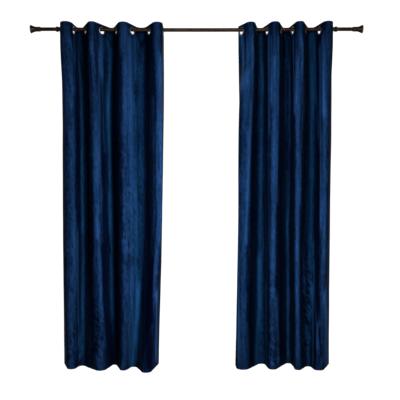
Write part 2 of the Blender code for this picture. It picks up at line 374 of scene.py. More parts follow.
for side_name, side in (("left", -1), ("right", 1)):
    low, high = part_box(f"finial_{side_name}")
    neck_end = high.x if side < 0 else low.x
    profile = finial_profile(FINIAL_LENGTH)
    finial = turned(f"finial_trumpet_{side_name}", profile, False, FINIAL_STEPS, cast_bronze)
    finial.location = (neck_end, 0.0, ROD_SAG)
    finial.rotation_euler = (0.0, side * math.pi / 2, 0.0)
    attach(finial, "root")
    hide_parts(f"finial_{side_name}")


# The eyelets
# Two pressed rings of nickel-plated steel that snap together through the header, one in each
# flank of the folds. They hang on the rod. The plate is brushed round and dulled to pewter.
EYELET_BORE = 20.0 * MM
EYELET_BARREL = 21.7 * MM
EYELET_FLANGE = 27.5 * MM
EYELET_CREST = 24.0 * MM
EYELET_CREST_HEIGHT = 3.6 * MM
EYELET_LIP_HEIGHT = 3.0 * MM
EYELET_GRIP = 1.55 * MM
EYELET_REST_GAP = 0.7 * MM
EYELET_STEPS = 56
EYELET_COUNT = 8
PEWTER_DARK = (0.12, 0.14, 0.16, 1.0)
PEWTER_LIGHT = (0.38, 0.41, 0.44, 1.0)
BRUSHING_GRAIN = 5000.0
BRUSHING_HEIGHT = 0.2 * MM
PEWTER_PATCH_GRAIN = 95

# x, y and radius of each turn of the cloth in plan, in mm, from its left side edge to its right
# one: crests towards the room and valleys towards the wall take turns between the two edges.
Turn = namedtuple("Turn", "x y radius")

# The four heights at which the folds are set out, in mm below the rod.
LEVEL_DEPTHS = (55.0, 450.0, 1250.0, 2103.0)

LEFT_TURNS = (
    (  # at the rod
        Turn(-860, 82, 0),
        Turn(-806, -62, 36),
        Turn(-738, 68, 21),
        Turn(-644, -63, 25),
        Turn(-539, 62, 18),
        Turn(-452, -62, 32),
        Turn(-349, 56, 37),
        Turn(-242, -62, 31),
        Turn(-210, 82, 0),
    ),
    (  # a fifth of the way down
        Turn(-858, 88, 0),
        Turn(-786, -60, 40),
        Turn(-722, 56, 18),
        Turn(-632, -66, 30),
        Turn(-556, 60, 26),
        Turn(-455, -64, 28),
        Turn(-350, 52, 30),
        Turn(-234, -66, 22),
        Turn(-210, 88, 0),
    ),
    (  # three fifths of the way down
        Turn(-854, 88, 0),
        Turn(-782, -56, 40),
        Turn(-712, 50, 20),
        Turn(-614, -68, 32),
        Turn(-540, 60, 18),
        Turn(-450, -64, 28),
        Turn(-348, 50, 30),
        Turn(-238, -68, 22),
        Turn(-224, 88, 0),
    ),
    (  # at the hem
        Turn(-846, 84, 0),
        Turn(-776, -36, 28),
        Turn(-718, 38, 24),
        Turn(-592, -68, 36),
        Turn(-520, 62, 14),
        Turn(-450, -58, 22),
        Turn(-392, 28, 22),
        Turn(-306, -90, 32),
        Turn(-242, 84, 0),
    ),
)

RIGHT_TURNS = (
    (  # at the rod
        Turn(262, 30, 0),
        Turn(333, -62, 28),
        Turn(402, 65, 20),
        Turn(482, -66, 28),
        Turn(566, 68, 22),
        Turn(634, -68, 26),
        Turn(724, 65, 26),
        Turn(808, -66, 31),
        Turn(860, 82, 0),
    ),
    (  # a fifth of the way down
        Turn(272, 86, 0),
        Turn(308, -60, 42),
        Turn(404, 60, 24),
        Turn(477, -66, 30),
        Turn(573, 64, 22),
        Turn(625, -66, 24),
        Turn(727, 58, 26),
        Turn(794, -64, 28),
        Turn(861, 86, 0),
    ),
    (  # three fifths of the way down
        Turn(266, 84, 0),
        Turn(299, -54, 42),
        Turn(400, 62, 26),
        Turn(470, -64, 28),
        Turn(574, 70, 18),
        Turn(618, -64, 22),
        Turn(719, 50, 26),
        Turn(782, -62, 26),
        Turn(850, 84, 0),
    ),
    (  # at the hem
        Turn(246, 78, 0),
        Turn(290, -42, 42),
        Turn(409, 80, 26),
        Turn(470, -42, 26),
        Turn(584, 88, 18),
        Turn(627, -48, 20),
        Turn(698, 34, 18),
        Turn(754, -58, 33),
        Turn(842, 74, 0),
    ),
)


def turn_side(index):
    """Edges and valleys, towards the wall, are 1. Crests, towards the room, are -1."""
    return -1 if index % 2 else 1


def flank(first, second):
    """Heading and length of the straight cloth between two turns, their inner tangent."""
    run = second.x - first.x
    both = first.radius + second.radius
    rise = abs(second.y - first.y) - both
    length = math.sqrt(run * run + rise * rise - both * both)
    return math.atan2(rise, run) + math.atan2(both, length), length


def flank_start(turn, heading, side):
    """Plan point, in mm, where the cloth leaves a turn."""
    x = turn.x + turn.radius * math.sin(heading)
    return x, turn.y - side * turn.radius * (1 - math.cos(heading))


def eyelet_places(turns):
    """(x, heading in plan) of each flank where it crosses the rod."""
    places = []
    for i in range(EYELET_COUNT):
        heading, _ = flank(turns[i], turns[i + 1])
        x, y = flank_start(turns[i], heading, turn_side(i))
        cross_x = x + y * turn_side(i) / math.sin(heading) * math.cos(heading)
        places.append((cross_x * MM, -turn_side(i) * heading))
    return places


def eyelet_matrix(x, heading):
    """Local Z along the flank's normal. The bore rests on the rod's top."""
    centre_z = rod_height(x) + ROD_RADIUS + EYELET_REST_GAP - EYELET_BORE
    place = Matrix.Translation((x, 0.0, centre_z))
    return place @ Matrix.Rotation(heading, 4, "Z") @ Matrix.Rotation(math.pi / 2, 4, "X")


def eyelet_profile():
    """Half of the spool's section, from the bore over the rolled crest to the flange and barrel."""
    rolled = [
        (EYELET_BORE, EYELET_LIP_HEIGHT * 0.6),
        (EYELET_BORE + 0.2 * MM, EYELET_LIP_HEIGHT),
        (EYELET_BORE + 0.9 * MM, EYELET_CREST_HEIGHT - 0.15 * MM),
        (EYELET_CREST - 1.8 * MM, EYELET_CREST_HEIGHT),
        (EYELET_CREST, EYELET_CREST_HEIGHT - 0.05 * MM),
        (EYELET_CREST + 1.3 * MM, EYELET_CREST_HEIGHT - 0.35 * MM),
        (EYELET_FLANGE - 1.1 * MM, EYELET_GRIP + 1.1 * MM),
        (EYELET_FLANGE - 0.25 * MM, EYELET_GRIP + 0.5 * MM),
        (EYELET_FLANGE, EYELET_GRIP + 0.15 * MM),
        (EYELET_FLANGE - 0.2 * MM, EYELET_GRIP),
        (EYELET_BARREL, EYELET_GRIP),
    ]
    return rolled + [(radius, -height) for radius, height in reversed(rolled)]


def brushed_pewter(tree):
    """Plated steel, brushed round the ring, darker in cloudy patches."""
    place = tree.node("TexCoord", output=3)
    radius = tree.node("VectorMath", {"operation": "LENGTH"}, {0: place}, output=1)
    rings = tree.node("CombineXYZ", inputs={"X": radius * BRUSHING_GRAIN})
    brushing = rings.grain(1.0, 3, 0.7)
    patches = place.grain(PEWTER_PATCH_GRAIN, 4)
    colour = (patches * 0.75 + brushing * 0.35).held(0.35, 0.75).between(PEWTER_DARK, PEWTER_LIGHT)
    return tree.node(
        "BsdfPrincipled",
        inputs={
            "Base Color": colour,
            "Metallic": 1.0,
            "Roughness": 0.24 + 0.22 * brushing,
            "Normal": brushing.relief(0.15, BRUSHING_HEIGHT),
        },
    )


pewter = finish("pewter_plate", brushed_pewter)

eyelets = {"left": [], "right": []}
for side_name, levels in (("left", LEFT_TURNS), ("right", RIGHT_TURNS)):
    for number, (x, heading) in enumerate(eyelet_places(levels[0]), start=1):
        ring = turned(
            f"eyelet_ring_{side_name}_{number}", eyelet_profile(), True, EYELET_STEPS, pewter
        )
        ring.matrix_world = eyelet_matrix(x, heading)
        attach(ring, "root")
        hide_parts(f"eyelet_{side_name}_{number}")
        eyelets[side_name].append(ring)


# The left curtain
# One width of velvet with a stiffened header, turned and stitched side hems and a deeper bottom
# hem. It hangs from its eyelets in four front folds, which lean and swell on their way down.
CURTAIN_FLAT = (1.321, 2.134)
CLOTH_ABOVE_ROD = 31.0 * MM
HEADER_BELOW_ROD = 55.0 * MM
HEM_DEPTH = CURTAIN_FLAT[1] - CLOTH_ABOVE_ROD
CLOTH_PER_TURN = CURTAIN_FLAT[0] / EYELET_COUNT
ARC_STEPS = 7
FLANK_STEPS = 11
SIDE_SEAM = 25.0 * MM
HEM_SEAM = 92.0 * MM
HEADER_ROWS = 16
BODY_ROWS = 146
HEM_ROWS = 10
SEAM_SINK = 0.8 * MM
SEAM_HALF_WIDTH = 2.2 * MM
RIM_ROWS = (0.0, 1.2 * MM, 4.0 * MM)
RIM_ROUND = 3.0 * MM
RIM_THINNEST = 0.25
HALF_CLOTH = 0.85 * MM
HEM_EXTRA = 0.9 * MM
HEM_STEP_IN = 1.0 * MM
HEM_STEP_OUT = 2.0 * MM
HEADER_STEP = 4.0 * MM
SMOOTHING_ROUNDS = 2
HOLE_RADIUS = 22.2 * MM
HOLE_HALF_DEPTH = 8.0 * MM
HOLE_STEPS = 48

# Extra lines of the mesh, in mm: in from each side edge, and above and below the hem's seam.
EDGE_PLACES = (1.2, 4.0, 9.0, 15.0, 20.0, 23.0, 25.0, 27.0, 30.0, 36.0)
SEAM_STEPS = (-6.0, -3.0, -1.2, 0.0, 1.2, 3.0, 6.0)

# How far the hem hangs lower at each turn and edge, in mm.
LEFT_HEM_DROPS = (4, 3, 3, 0, 2, 0, 5, 3, 0)

# Creases, each a soft ridge (height above 0) or trough (below 0). A place on the cloth is its
# turn, counted from the left edge with parts of one, and its depth below the rod in metres.
# Width and height are in mm.
Crease = namedtuple("Crease", "turn depth end_turn end_depth width height")

# The share of a crease's length over which it rises at each end.
CREASE_FADE = 0.3

LEFT_CREASES = (
    # Down the first valley, from the header to where its folds close.
    Crease(1.92, 0.07, 2.00, 0.30, 9, -4.0),
    Crease(2.00, 0.22, 2.42, 0.62, 10, -5.0),
    Crease(2.40, 0.52, 2.55, 1.10, 10, -3.5),
    # The line that drops along the right side of the second fold.
    Crease(3.52, 0.45, 3.72, 0.85, 9, -4.0),
    Crease(3.70, 0.70, 3.90, 1.45, 9, -5.0),
    Crease(3.88, 1.30, 3.84, 2.09, 9, -4.0),
    # Pinches under the rod.
    Crease(5.86, 0.03, 6.20, 0.12, 7, -3.0),
    Crease(6.30, 0.05, 6.00, 0.16, 7, 2.5),
    Crease(1.90, 0.05, 2.30, 0.15, 7, -3.0),
    Crease(3.88, 0.05, 4.20, 0.16, 7, -3.0),
    # Near the hem.
    Crease(1.30, 1.88, 1.98, 2.09, 12, 4.0),
    Crease(1.95, 1.90, 1.35, 2.06, 12, -3.0),
    Crease(3.60, 1.93, 4.15, 2.09, 12, 4.0),
    Crease(5.42, 1.35, 5.62, 2.08, 8, -2.5),
    Crease(6.72, 1.70, 7.00, 2.06, 14, -2.5),
)

# Painted highlights and painted shade on the pile: a mark along places on the cloth, each (turn,
# depth in metres), with its width in mm and its tone. A tone above 0 paints light and one below 0
# paints shade. A mark fades out past its ends MARK_FADE times as far as it does to its sides.
LightMark = namedtuple("LightMark", "places width tone")
MARK_FADE = 3.0
TONE_LIMIT = 1.8

# Where handling has crushed the pile: a round patch about a (turn, depth in metres), with its half
# width and half height in mm, and how strongly its feathers show. A feather is a slanting streak
# of noise that drifts a little up and down along the patch.
Crushed = namedtuple("Crushed", "turn depth half_width half_height strength")
CRUSHED_HEIGHT = 1.2 * MM
CRUSHED_FADE = (0.55, 1.15)
CRUSHED_LEAST = 0.01
FEATHER_SLANT = 0.5
FEATHER_WIDTH = 50 * MM
FEATHER_DEPTH = 15 * MM
FEATHER_GAIN = 1.5
FEATHER_SEED_STEP = 3
DRIFT_WIDTH = 30 * MM
DRIFT_DEPTH = 80 * MM

# The cloth's own soft waves, each with its width and length in metres and its height in mm, and
# the depths in metres between which they come up below the stiff header.
SWELL_WAVES = ((0.070, 0.55, 2.6), (0.035, 0.20, 1.1), (0.016, 0.09, 0.35))
SWELL_RISE = (0.05, 0.40)
SWELL_SEED_STEP = 7.3

LEFT_CRUSHED = (
    Crushed(2.85, 1.88, 65, 260, 0.35),
    Crushed(1.30, 1.95, 90, 160, 0.25),
    Crushed(5.40, 1.20, 130, 700, 0.15),
)

LEFT_LIGHT_MARKS = (
    # The outer flank, lit with a painted highlight.
    LightMark(((0.4, 0.0), (0.36, 1.0), (0.32, 2.09)), 40, 0.7),
    # The first ridge and its sides.
    LightMark(((1.54, 0.05), (1.57, 0.18)), 14, 0.8),
    LightMark(((1.21, 0.09), (1.45, 0.19), (1.35, 0.38)), 14, 0.5),
    LightMark(((1.29, 0.1), (1.16, 0.48)), 9, 0.4),
    LightMark(((1.0, 0.2), (0.96, 0.51), (0.95, 1.24), (0.9, 1.92)), 16, -0.12),
    LightMark(((1.61, 0.25), (1.47, 0.68), (1.54, 1.0)), 11, -0.25),
    LightMark(((1.22, 0.57), (1.23, 1.24), (1.28, 1.8)), 12, 0.25),
    LightMark(((1.28, 1.15), (1.36, 1.68), (1.43, 2.02)), 14, 0.3),
    LightMark(((1.49, 1.28), (1.57, 1.68), (1.76, 2.03)), 16, 0.75),
    LightMark(((0.75, 1.44), (1.08, 1.44)), 14, -0.2),
    LightMark(((1.83, 1.92), (0.98, 2.05)), 12, 0.25),
    LightMark(((1.37, 2.0), (0.5, 2.06)), 9, -0.4),
    # The first valley.
    LightMark(((1.9, 0.04), (2.0, 0.2), (2.19, 0.49), (2.36, 0.68), (2.49, 1.05), (2.46, 1.38),
         (2.64, 1.77), (2.65, 2.04)), 11, -0.45),
    LightMark(((1.94, 0.07), (2.0, 0.17), (2.01, 0.49), (1.99, 0.93), (2.0, 1.19)), 26, 0.7),
    LightMark(((2.62, 0.19), (2.29, 0.81)), 8, 0.4),
    LightMark(((2.29, 0.43), (2.23, 1.0), (2.26, 1.25), (2.29, 1.68)), 11, 0.5),
    LightMark(((2.04, 1.37), (2.12, 1.75), (2.09, 2.0)), 22, 0.3),
    LightMark(((2.05, 2.04), (1.84, 2.08)), 8, -0.35),
    # The second ridge, with the fold lines that run down it.
    LightMark(((3.45, 0.05), (3.52, 0.25)), 14, 0.6),
    LightMark(((3.38, 0.16), (3.31, 0.63), (3.29, 1.0), (3.29, 1.3)), 14, 0.65),
    LightMark(((2.98, 0.2), (2.88, 0.94), (2.85, 1.36)), 10, -0.3),
    LightMark(((3.43, 0.34), (3.54, 0.44), (3.63, 0.68)), 7, -0.35),
    LightMark(((3.23, 0.38), (3.17, 0.81), (3.08, 1.24), (3.14, 1.61), (3.28, 1.92)), 14, 0.3),
    LightMark(((2.87, 0.42), (2.8, 0.81), (2.63, 1.21)), 10, 0.4),
    LightMark(((3.29, 1.19), (3.33, 1.53)), 20, -0.35),
    LightMark(((3.03, 1.33), (2.95, 1.97)), 12, -0.3),
    LightMark(((3.27, 1.65), (3.46, 1.89), (3.76, 2.04)), 9, -0.6),
    # The second valley.
    LightMark(((4.19, 0.02), (4.01, 0.08)), 7, -0.4),
    LightMark(((3.71, 0.03), (3.93, 0.06)), 7, -0.4),
    LightMark(((3.86, 0.06), (3.96, 0.17), (4.05, 0.93), (3.94, 1.76)), 22, 0.6),
    LightMark(((4.42, 0.09), (4.46, 0.44), (4.44, 1.05), (4.5, 1.38), (4.26, 2.01)), 10, -0.5),
    LightMark(((3.91, 0.23), (3.92, 0.99)), 8, -0.45),
    LightMark(((3.55, 0.28), (3.72, 0.74)), 12, 0.6),
    LightMark(((3.63, 0.68), (3.65, 0.95), (3.82, 1.19), (3.94, 1.39)), 8, -0.5),
    # The broad third ridge.
    LightMark(((5.67, 0.06), (5.73, 0.27)), 16, 0.8),
    LightMark(((5.35, 0.1), (5.43, 0.56), (5.46, 1.05), (5.49, 1.43), (5.85, 2.06)), 34, 0.6),
    LightMark(((4.95, 0.2), (4.95, 1.06), (4.96, 2.01)), 13, -0.4),
    LightMark(((5.15, 0.26), (5.17, 0.81), (5.18, 1.36), (5.24, 1.98)), 12, 0.3),
    LightMark(((5.72, 0.49), (5.75, 1.06), (5.77, 1.44)), 16, 0.35),
    LightMark(((5.2, 0.65), (5.13, 1.05)), 7, -0.15),
    LightMark(((5.62, 0.93), (5.81, 1.5), (6.1, 2.04)), 14, 0.4),
    LightMark(((4.92, 1.43), (5.98, 1.44)), 14, -0.2),
    LightMark(((5.38, 1.58), (5.73, 2.03)), 7, -0.3),
    LightMark(((5.41, 1.61), (5.63, 2.06)), 30, 0.4),
    LightMark(((5.38, 1.8), (5.55, 2.03)), 14, 0.35),
    # The third valley and the black band beside it.
    LightMark(((5.86, 0.02), (5.98, 0.07)), 7, -0.5),
    LightMark(((6.2, 0.03), (6.0, 0.08)), 7, -0.5),
    LightMark(((6.37, 0.09), (6.38, 0.44), (6.31, 0.75), (6.35, 1.05), (6.58, 1.46), (6.82, 1.76),
         (6.88, 1.79)), 18, -0.45),
    LightMark(((5.99, 0.36), (6.01, 0.81), (5.97, 1.25), (5.96, 1.5)), 12, -0.1),
    LightMark(((6.0, 1.63), (6.2, 1.84), (6.56, 2.04)), 18, 0.6),
    LightMark(((6.09, 1.93), (6.23, 2.04)), 12, 0.7),
    # The last ridge.
    LightMark(((7.15, 0.2), (7.12, 0.75), (7.14, 1.3)), 14, 0.7),
    LightMark(((6.74, 0.44), (6.74, 0.81), (6.8, 1.24)), 10, 0.6),
    LightMark(((6.9, 0.6), (6.92, 1.03)), 9, 0.55),
    LightMark(((6.82, 1.44), (7.02, 1.79)), 9, -0.8),
    LightMark(((7.45, 1.59), (7.57, 1.75), (7.81, 2.08)), 13, 1.3),
    LightMark(((6.77, 1.61), (7.08, 2.04)), 18, -0.7),
    LightMark(((7.16, 1.64), (7.61, 2.03)), 13, 1.6),
)


def flank_shares(length, index):
    """Where a flank's points lie, as shares of its length. The outer ones follow the side seam."""
    if index == 0:
        near = [place / length for place in EDGE_PLACES]
        rest = [near[-1] + (1 - near[-1]) * k / FLANK_STEPS for k in range(1, FLANK_STEPS)]
        return near + rest
    if index == EYELET_COUNT - 1:
        return [1 - share for share in reversed(flank_shares(length, 0))]
    return [k / FLANK_STEPS for k in range(1, FLANK_STEPS)]


def section(turns):
    """Plan points of the cloth at one level, edge to edge, and the index of each turn's middle."""
    points = [(turns[0].x, turns[0].y)]
    middles = [0]
    for i in range(EYELET_COUNT):
        heading, length = flank(turns[i], turns[i + 1])
        side = turn_side(i)
        start_x, start_y = flank_start(turns[i], heading, side)
        for share in flank_shares(length, i):
            x = start_x + length * share * math.cos(heading)
            points.append((x, start_y - side * length * share * math.sin(heading)))
        if i + 1 == EYELET_COUNT:
            break
        turn = turns[i + 1]
        leaving, _ = flank(turn, turns[i + 2])
        middle_y = turn.y + side * turn.radius
        angles = [-heading * (1 - k / ARC_STEPS) for k in range(ARC_STEPS)]
        angles += [leaving * k / ARC_STEPS for k in range(ARC_STEPS + 1)]
        middles.append(len(points) + ARC_STEPS)
        for angle in angles:
            x = turn.x + turn.radius * math.sin(angle)
            points.append((x, middle_y - side * turn.radius * math.cos(angle)))
    points.append((turns[-1].x, turns[-1].y))
    middles.append(len(points) - 1)
    return np.array(points) * MM, middles


def blended(sections, depth):
    """The plan section at one depth, on a smooth curve through the four set-out levels."""
    depths = [level * MM for level in LEVEL_DEPTHS]
    if depth <= depths[0]:
        return sections[0]
    k = max(i for i in range(len(depths) - 1) if depth >= depths[i])
    span = depths[k + 1] - depths[k]
    t = (depth - depths[k]) / span
    slopes = []
    for i in (k, k + 1):
        low = max(i - 1, 0)
        high = min(i + 1, len(depths) - 1)
        slope = (sections[high] - sections[low]) / (depths[high] - depths[low])
        slopes.append(slope * (span if i > 0 else 0.0))
    start = (1 + 2 * t) * (1 - t) ** 2 * sections[k] + t * (1 - t) ** 2 * slopes[0]
    return start + t * t * (3 - 2 * t) * sections[k + 1] - t * t * (1 - t) * slopes[1]


def row_depths():
    """Depths of the rows below the rod, closer together round the edges and the hem's seam."""
    rows = [-CLOTH_ABOVE_ROD + row for row in RIM_ROWS]
    start = rows[-1]
    for k in range(1, HEADER_ROWS + 1):
        rows.append(start + (HEADER_BELOW_ROD - start) * k / HEADER_ROWS)
    seam = HEM_DEPTH - HEM_SEAM
    first = seam + SEAM_STEPS[0] * MM
    for k in range(1, BODY_ROWS):
        rows.append(HEADER_BELOW_ROD + (first - HEADER_BELOW_ROD) * k / BODY_ROWS)
    rows += [seam + step * MM for step in SEAM_STEPS]
    last = rows[-1]
    for k in range(1, HEM_ROWS):
        rows.append(last + (HEM_DEPTH - RIM_ROWS[-1] - last) * k / HEM_ROWS)
    return np.array(rows + [HEM_DEPTH - row for row in reversed(RIM_ROWS)])


def smooth_step(values, low, high):
    """0 below low, 1 above high, and smooth between the two."""
    share = np.clip((values - low) / (high - low), 0, 1)
    return share * share * (3 - 2 * share)


def crease_heights(creases, across, down):
    """Height of every crease at places across and down the flat cloth, in metres."""
    heights = np.zeros_like(across)
    for crease in creases:
        start = np.array([crease.turn * CLOTH_PER_TURN, crease.depth])
        run = np.array([crease.end_turn * CLOTH_PER_TURN, crease.end_depth]) - start
        along = ((across - start[0]) * run[0] + (down - start[1]) * run[1]) / (run @ run)
        held = np.clip(along, 0, 1)
        off = np.hypot(across - start[0] - held * run[0], down - start[1] - held * run[1])
        fade = smooth_step(np.minimum(held, 1 - held), 0, CREASE_FADE)
        heights += crease.height * MM * fade * np.exp(-((off / (crease.width * MM)) ** 2))
    return heights


def painted_light_tones(marks, across, down):
    """The light (above 0) or shade (below 0) that the marks paint on each place of the pile."""
    tones = np.zeros_like(across)
    for mark in marks:
        nearest = np.full_like(across, np.inf)
        for (turn, depth), (end_turn, end_depth) in zip(mark.places, mark.places[1:]):
            start = np.array([turn * CLOTH_PER_TURN, depth])
            run = np.array([end_turn * CLOTH_PER_TURN, end_depth]) - start
            along = ((across - start[0]) * run[0] + (down - start[1]) * run[1]) / (run @ run)
            held = np.clip(along, 0, 1)
            beside = across - start[0] - held * run[0]
            beyond = (down - start[1] - held * run[1]) / MARK_FADE
            nearest = np.minimum(nearest, np.hypot(beside, beyond))
        tones += mark.tone * np.exp(-((nearest / (mark.width * MM)) ** 2))
    return tones


def feathers(patches, across, down, seed):
    """The tufts' slanting feathers in the crushed patches, -1 to 1."""
    total = np.zeros_like(across)
    for patch in patches:
        beside = (across - patch.turn * CLOTH_PER_TURN) / (patch.half_width * MM)
        beyond = (down - patch.depth) / (patch.half_height * MM)
        inside = 1 - smooth_step(np.hypot(beside, beyond), *CRUSHED_FADE)
        for i, j in np.argwhere(inside > CRUSHED_LEAST):
            x = across[i, j]
            y = down[i, j]
            drift = noise.noise(Vector((x / DRIFT_WIDTH, y / DRIFT_DEPTH, seed)))
            slant = (y - FEATHER_SLANT * x) / FEATHER_DEPTH + drift
            layer = seed + FEATHER_SEED_STEP
            feather = noise.noise(Vector((x / FEATHER_WIDTH, slant, layer)))
            total[i, j] += patch.strength * inside[i, j] * FEATHER_GAIN * feather
    return np.clip(total, -1, 1)


def swell(across, down, seed):
    """The cloth's own soft waves: long ones down its length and short ones across its folds."""
    heights = np.zeros_like(across)
    for number, (width, length, height) in enumerate(SWELL_WAVES):
        layer = seed + SWELL_SEED_STEP * number
        for index in np.ndindex(across.shape):
            place = Vector((across[index] / width, down[index] / length, layer))
            heights[index] += noise.noise(place) * height * MM
    return heights * smooth_step(down, *SWELL_RISE)


def normals_of(points):
    """Unit normals, towards the room, of a grid of points that runs right and then down."""
    right = np.gradient(points, axis=1)
    lower = np.gradient(points, axis=0)
    facing = np.cross(lower, right)
    return facing / np.linalg.norm(facing, axis=2, keepdims=True)


def cloth_grid(levels, drops, creases, marks, patches, seed):
    """The cloth's middle surface, its places on the flat cloth, its painted light with the crushed
    tone, and its edge distances.
    """
    laid_out = [section(turns) for turns in levels]
    middles = laid_out[0][1]
    sections = [points for points, _ in laid_out]
    rows = row_depths()
    plan = np.array([blended(sections, depth) for depth in rows])
    for _ in range(SMOOTHING_ROUNDS):
        plan[:, 1:-1] = 0.5 * plan[:, 1:-1] + 0.25 * (plan[:, :-2] + plan[:, 2:])
    steps = np.linalg.norm(np.diff(plan, axis=1), axis=2)
    travelled = np.concatenate([np.zeros((len(rows), 1)), np.cumsum(steps, axis=1)], axis=1)
    turn = np.array([np.interp(line, line[middles], range(len(middles))) for line in travelled])
    down = np.repeat(rows[:, None], plan.shape[1], axis=1)
    drop = np.interp(turn, range(len(drops)), drops) * MM * np.clip(down, 0, None) / rows[-1]
    lift = np.vectorize(rod_height)(plan[:, :, 0])
    points = np.dstack([plan, lift - down - drop])
    # How squarely the cloth faces the room, kept for the shade painted on the flanks.
    facing = np.abs(normals_of(points)[:, :, 1])
    across = turn * CLOTH_PER_TURN
    to_side = np.minimum(travelled, travelled[:, -1:] - travelled)
    heights = crease_heights(creases, across, down) + swell(across, down, seed)
    crushed = feathers(patches, across, down, seed)
    heights += crushed * CRUSHED_HEIGHT
    side_seam = np.exp(-(((to_side - SIDE_SEAM) / SEAM_HALF_WIDTH) ** 2))
    hem_seam = np.exp(-(((HEM_DEPTH - down - HEM_SEAM) / SEAM_HALF_WIDTH) ** 2))
    heights -= SEAM_SINK * np.maximum(side_seam, hem_seam)
    points += normals_of(points) * heights[:, :, None]
    flat_across = travelled / travelled[:, -1:] * CURTAIN_FLAT[0]
    flat = np.dstack([flat_across, CURTAIN_FLAT[1] - HEM_DEPTH + down])
    # The marks' painted light with the crushed patches' tone, stored beside the facing for the
    # pile.
    tones = np.clip(painted_light_tones(marks, across, down) + crushed, -TONE_LIMIT, TONE_LIMIT)
    painted_light_and_crush = np.dstack([0.5 + 0.5 * tones / TONE_LIMIT, facing])
    return points, flat, painted_light_and_crush, to_side, down


def thickened(name, points, flat, painted_light_and_crush, to_side, down, materials):
    """A closed mesh of the cloth's front and back, thicker in its hems and round at its edges."""
    normals = normals_of(points)
    to_end = np.minimum(down + CLOTH_ABOVE_ROD, HEM_DEPTH - down)
    near = np.minimum(to_side, to_end)
    rounded = RIM_THINNEST + (1 - RIM_THINNEST) * np.sqrt(np.clip(near / RIM_ROUND, 0, 1))
    hem = np.maximum(
        1 - smooth_step(to_side, SIDE_SEAM - HEM_STEP_IN, SIDE_SEAM + HEM_STEP_OUT),
        smooth_step(down, HEM_DEPTH - HEM_SEAM - HEM_STEP_OUT, HEM_DEPTH - HEM_SEAM + HEM_STEP_IN),
    )
    header_end = HEADER_BELOW_ROD + HEADER_STEP
    hem = np.maximum(hem, 1 - smooth_step(down, HEADER_BELOW_ROD, header_end))
    front = points + normals * (HALF_CLOTH * rounded)[:, :, None]
    back = points - normals * ((HALF_CLOTH + HEM_EXTRA * hem) * rounded)[:, :, None]
    rows, columns = points.shape[:2]
    count = rows * columns
    grid = np.arange(count).reshape(rows, columns)
    quads = np.stack([grid[:-1, :-1], grid[1:, :-1], grid[1:, 1:], grid[:-1, 1:]], axis=-1)
    quads = quads.reshape(-1, 4)
    faces = [quads, quads[:, ::-1] + count]
    rim = np.concatenate([grid[0], grid[1:, -1], grid[-1, -2::-1], grid[-2:0:-1, 0]])
    after = np.roll(rim, -1)
    faces.append(np.stack([rim, after, after + count, rim + count], axis=-1))
    faces = np.concatenate(faces)
    mesh = bpy.data.meshes.new(name)
    mesh.from_pydata(np.concatenate([front, back]).reshape(-1, 3).tolist(), [], faces.tolist())
    mesh.shade_smooth()
    for material in materials:
        mesh.materials.append(material)
    backs = np.zeros(len(faces), np.int32)
    backs[len(quads) : 2 * len(quads)] = 1
    mesh.polygons.foreach_set("material_index", backs)
    for layer, values in (("cut", flat), ("painted_light_and_crush", painted_light_and_crush)):
        corners = np.concatenate([values, values]).reshape(-1, 2)[faces.reshape(-1)]
        corners = corners.reshape(-1).astype(np.float32)
        mesh.uv_layers.new(name=layer).data.foreach_set("uv", corners)
    return placed(name, mesh)


def punched(obj, places):
    """Cuts a round hole through the cloth for each eyelet."""
    holes = []
    rim = [(HOLE_RADIUS, HOLE_HALF_DEPTH), (HOLE_RADIUS, -HOLE_HALF_DEPTH)]
    plug = [(0.0, HOLE_HALF_DEPTH), *rim, (0.0, -HOLE_HALF_DEPTH)]
    cutters = bpy.data.collections.new("holes")
    for x, heading in places:
        hole = turned("hole", plug, False, HOLE_STEPS, velvet)
        hole.data.transform(eyelet_matrix(x, heading))
        cutters.objects.link(hole)
        holes.append(hole)
    cut = obj.modifiers.new("eyelet holes", "BOOLEAN")
    cut.operation = "DIFFERENCE"
    cut.solver = "MANIFOLD"
    cut.operand_type = "COLLECTION"
    cut.collection = cutters
    graph = bpy.context.evaluated_depsgraph_get()
    mesh = bpy.data.meshes.new_from_object(obj.evaluated_get(graph))
    obj.modifiers.clear()
    obj.data = mesh
    for hole in holes:
        bpy.data.objects.remove(hole)
    bpy.data.collections.remove(cutters)


# The pile's shaded navy, also the thread's colour, its lit navy, and the lit teal painted into the
# valleys.
NAVY_DEEP = (0.0001, 0.0016, 0.0150, 1.0)
NAVY_LIT = (0.0280, 0.1060, 0.2820, 1.0)
TEAL_LIT = (0.0125, 0.0790, 0.2000, 1.0)
STITCH_LENGTH = 3.2 * MM
STITCH_HALF_WIDTH = 0.5 * MM
STITCH_EDGE = (0.6 * STITCH_HALF_WIDTH, 1.4 * STITCH_HALF_WIDTH)
STITCH_GAP = (-0.55, -0.25)
HEADER_STITCH = 4.0 * MM
TONE_STRENGTH = 1.5
FULL_LIGHT_AND_MOTTLE = 1.46
TEAL_FROM = -30 * MM
TEAL_TO = 30 * MM
PILE_HEIGHT = 0.8 * MM

# How fine each of the pile's textures is, in grains to the metre of cloth.
PATCH_GRAIN = 14
STREAK_GRAIN = 90
MOTTLE_GRAIN = 75
TUFT_GRAIN = 900


def stitches(flat):
    """1 on the thread that holds the header, the side hems and the bottom hem, 0 elsewhere."""
    across = flat.along(0)
    down = flat.along(1)
    off_side = abs(across - CURTAIN_FLAT[0] / 2) - (CURTAIN_FLAT[0] / 2 - SIDE_SEAM)
    off_hem = down - (CURTAIN_FLAT[1] - HEM_SEAM)
    off_header = down - (CLOTH_ABOVE_ROD + HEADER_BELOW_ROD - HEADER_STITCH)
    rows = []
    for off, along in ((off_side, down), (off_hem, across), (off_header, across)):
        thread = 1 - abs(off).held(*STITCH_EDGE)
        wave = flat.maths("SINE", along * (2 * math.pi / STITCH_LENGTH))
        rows.append(thread * wave.held(*STITCH_GAP))
    return flat.maths("MAXIMUM", flat.maths("MAXIMUM", rows[0], rows[1]), rows[2])


